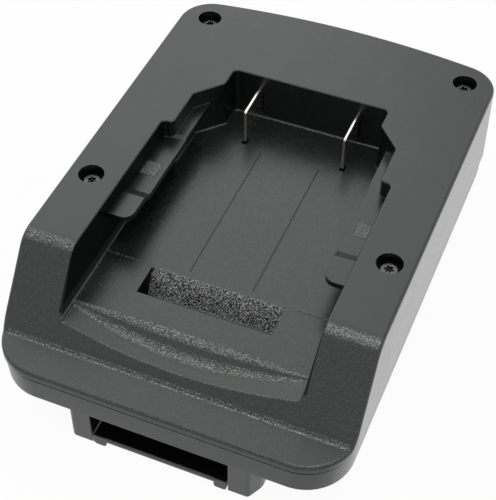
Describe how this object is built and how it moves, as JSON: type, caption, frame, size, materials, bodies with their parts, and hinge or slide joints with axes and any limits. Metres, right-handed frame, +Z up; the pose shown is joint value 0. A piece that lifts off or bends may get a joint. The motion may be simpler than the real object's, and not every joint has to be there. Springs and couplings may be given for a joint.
{
  "type": "slide battery adapter",
  "caption": "Slide adapter: a pocket on top with rail lips and contact blades takes a battery pack, and a latched foot beneath slides onto a tool.",
  "frame": {"origin": "middle of the housing's outline, on the plane of the foot's underside", "axes": "+X to the right, +Y the way a battery slides into the pocket, +Z up out of the pocket"},
  "size_m": [0.092, 0.1292, 0.041],
  "materials": {
    "black_abs": "fine moulded grain",
    "black_nylon": "smooth moulded",
    "grey_nylon": "smooth moulded",
    "black_zinc_steel": "black zinc",
    "bright_zinc_steel": "bright zinc",
    "nickel_plate": "nickel plate",
    "contact_brass": "stamped",
    "spring_steel": "drawn wire",
    "black_insulation": "silicone",
    "red_insulation": "silicone",
    "shrink_sleeve": "shrunk tube"
  },
  "bodies": {
    "housing": {"upper_shell": "black_abs", "lower_shell": "black_abs", "tool_foot": "black_nylon", "blade_holder": "grey_nylon", "contact_carrier": "grey_nylon", "housing_screws": "black_zinc_steel", "blade_holder_screws": "bright_zinc_steel", "foot_screws": "bright_zinc_steel", "carrier_screws": "bright_zinc_steel", "latch_guide_screws": "bright_zinc_steel", "left_input_blade": "nickel_plate", "right_input_blade": "nickel_plate", "left_output_contact": "contact_brass", "right_output_contact": "contact_brass", "left_latch_spring": "spring_steel", "right_latch_spring": "spring_steel", "left_lead": "black_insulation", "right_lead": "red_insulation", "lead_sleeves": "shrink_sleeve"},
    "latch": {"release_latch": "black_nylon"}
  },
  "joints": [
    {"name": "latch_slide", "type": "slide", "parent": "housing", "child": "latch", "axis": [0, 0, 1], "range_m": [0, 0.003], "stiffness_N_per_m": 900, "springref_m": -0.002, "deforming": ["left_latch_spring", "right_latch_spring"]}
  ]
}
